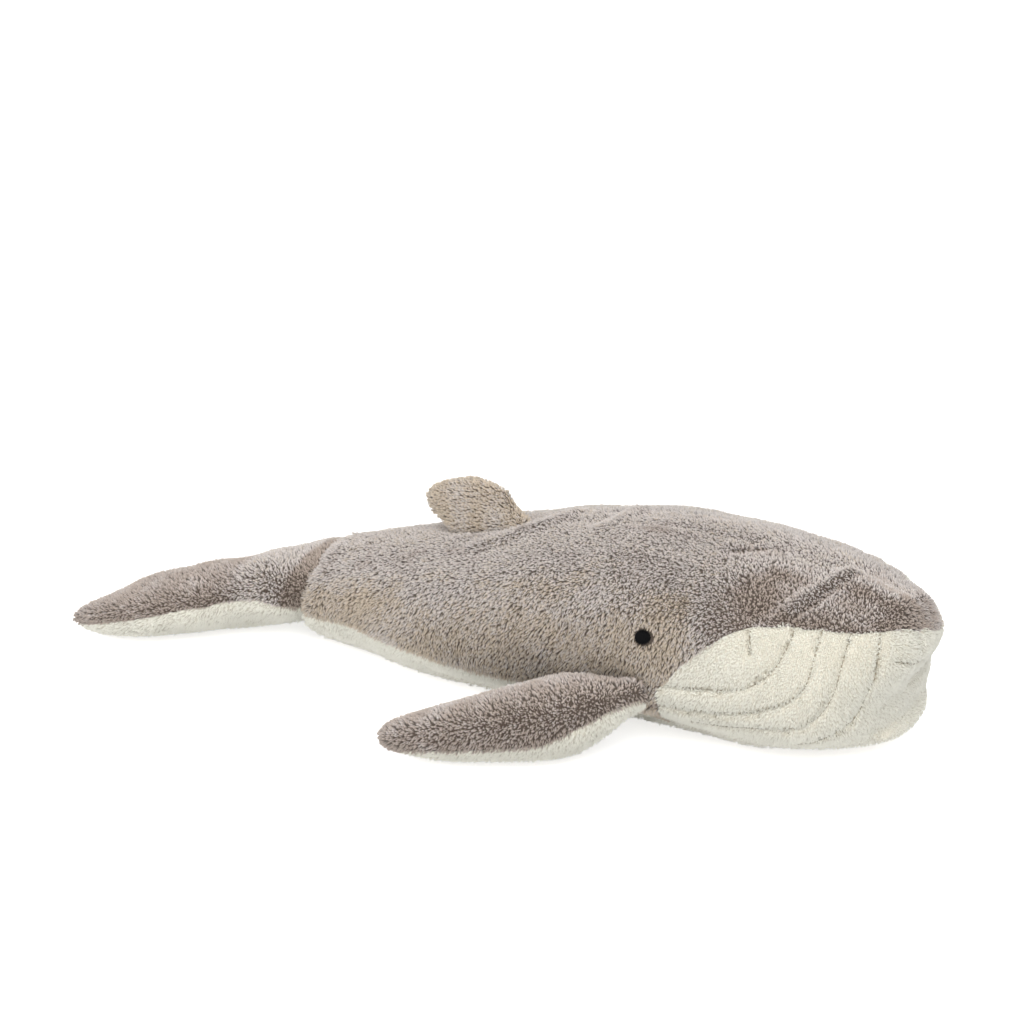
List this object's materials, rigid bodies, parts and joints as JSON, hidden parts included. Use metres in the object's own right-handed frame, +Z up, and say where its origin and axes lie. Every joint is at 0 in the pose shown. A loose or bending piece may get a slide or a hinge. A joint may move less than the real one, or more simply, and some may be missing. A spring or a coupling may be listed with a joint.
{
  "type": "plush whale",
  "caption": "Lying plush whale with a grooved cream throat and belly, leaf-shaped flippers, a small dorsal fin and a broad tail fluke.",
  "frame": {"origin": "on the floor, under the middle of the bounding box", "axes": "+X the way the head points, +Y the whale's left side, +Z up"},
  "size_m": [0.5486, 0.3446, 0.1175],
  "materials": {
    "taupe_plush": "long crimped pile, matte",
    "dark_taupe_plush": "long crimped pile, matte",
    "cream_plush": "long crimped pile, matte",
    "fibre_filling": "loose polyester fibre, matte",
    "black_thread": "satin stitch, slight sheen"
  },
  "bodies": {
    "body": {"back_panel_right": "taupe_plush", "back_panel_left": "taupe_plush", "throat_panel": "cream_plush", "belly_panel": "cream_plush", "body_filling": "fibre_filling", "eye_right": "black_thread", "eye_left": "black_thread"},
    "flipper_right": {"flipper_right_top": "dark_taupe_plush", "flipper_right_underside": "cream_plush", "flipper_right_filling": "fibre_filling"},
    "flipper_left": {"flipper_left_top": "dark_taupe_plush", "flipper_left_underside": "cream_plush", "flipper_left_filling": "fibre_filling"},
    "fluke": {"fluke_top": "dark_taupe_plush", "fluke_underside": "cream_plush", "fluke_filling": "fibre_filling"},
    "dorsal_fin": {"dorsal_fin_right": "taupe_plush", "dorsal_fin_left": "taupe_plush"}
  },
  "joints": [
    {"name": "flipper_right_swing", "type": "hinge", "parent": "body", "child": "flipper_right", "pos_m": [0.12342, -0.093, 0.038], "axis": [0, 0, 1], "range_deg": [0, 65]},
    {"name": "flipper_left_swing", "type": "hinge", "parent": "body", "child": "flipper_left", "pos_m": [0.12342, 0.093, 0.038], "axis": [0, 0, -1], "range_deg": [0, 65]},
    {"name": "fluke_lift", "type": "hinge", "parent": "body", "child": "fluke", "pos_m": [-0.14198, 0, 0.03083], "axis": [0, 1, 0], "range_deg": [-20, 30]},
    {"name": "dorsal_fin_fold", "type": "hinge", "parent": "body", "child": "dorsal_fin", "pos_m": [-0.02034, 0, 0.08926], "axis": [0.9677, 0, 0.252], "range_deg": [-45, 45], "stiffness_Nm_per_rad": 0.02}
  ]
}
